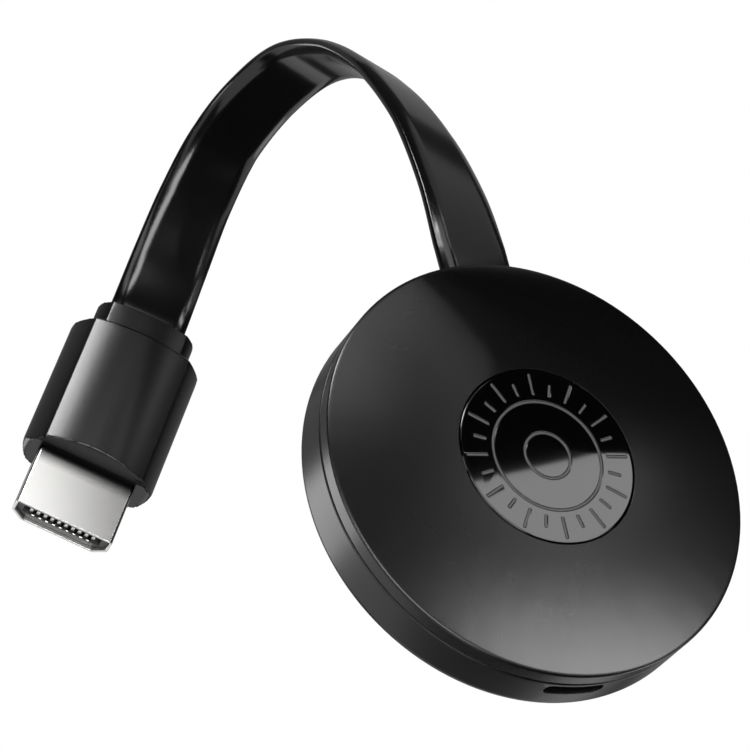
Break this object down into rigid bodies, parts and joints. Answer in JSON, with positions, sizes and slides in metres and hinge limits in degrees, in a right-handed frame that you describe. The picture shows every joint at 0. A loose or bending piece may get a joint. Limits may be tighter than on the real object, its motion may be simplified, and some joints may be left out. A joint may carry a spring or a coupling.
{
  "type": "hdmi dongle",
  "caption": "Round media dongle: domed disc housing with a glossy engraved inlay, a flat cable in a half-turn bend and a moulded HDMI plug.",
  "frame": {"origin": "centre of the HDMI plug's front face, where the moulded body seats on a port", "axes": "+Z is the way the cable leaves the disc's rim, -Y is the way the disc's domed face looks, +X runs across the disc; the plug leans 29 degrees in the disc's plane, so its mouth points down and to -X"},
  "size_m": [0.071, 0.0678, 0.1077],
  "materials": {
    "satin_shell": "satin black moulded plastic with a very fine grain",
    "gloss_inlay": "mirror-like black acrylic with thin engraved lines",
    "cable_jacket": "smooth glossy black cable jacket",
    "plug_mould": "satin dark grey overmould",
    "nickel": "bright nickel-plated sheet",
    "gold": "gold-plated contact metal",
    "black_insulator": "moulded black insulator",
    "board": "green solder mask",
    "chip": "moulded chip resin",
    "bright_metal": "bare aluminium and tinned cans",
    "screw_steel": "plated steel",
    "white_mould": "white inner mould and adhesive",
    "copper": "copper conductors"
  },
  "bodies": {
    "dongle": {"rear_cover": "satin_shell", "front_cover": "satin_shell", "face_inlay": "gloss_inlay", "inlay_tape": "white_mould", "circuit_board": "board", "board_screws": "screw_steel", "processor": "chip", "thermal_pad": "white_mould", "heat_spreader": "bright_metal", "memory_chips": "chip", "storage_chip": "chip", "wireless_module": "bright_metal", "antenna": "gold", "power_parts": "chip", "small_parts": "chip", "usb_socket_shell": "nickel", "usb_socket_tongue": "black_insulator", "usb_contacts": "gold", "tact_switch": "bright_metal", "cable_anchor": "black_insulator", "cable_wires": "copper", "flat_cable": "cable_jacket", "plug_collar": "plug_mould", "plug_body": "plug_mould", "plug_inner_mould": "white_mould", "plug_wires": "copper", "plug_shell": "nickel", "plug_insulator": "black_insulator", "contacts_upper": "nickel", "contacts_lower": "nickel"},
    "button": {"reset_button": "satin_shell", "switch_plunger": "white_mould"}
  },
  "joints": [
    {"name": "button_press", "type": "slide", "parent": "dongle", "child": "button", "axis": [-0.866, 0, 0.5], "range_m": [0, 0.0003], "stiffness_N_per_m": 1200}
  ]
}
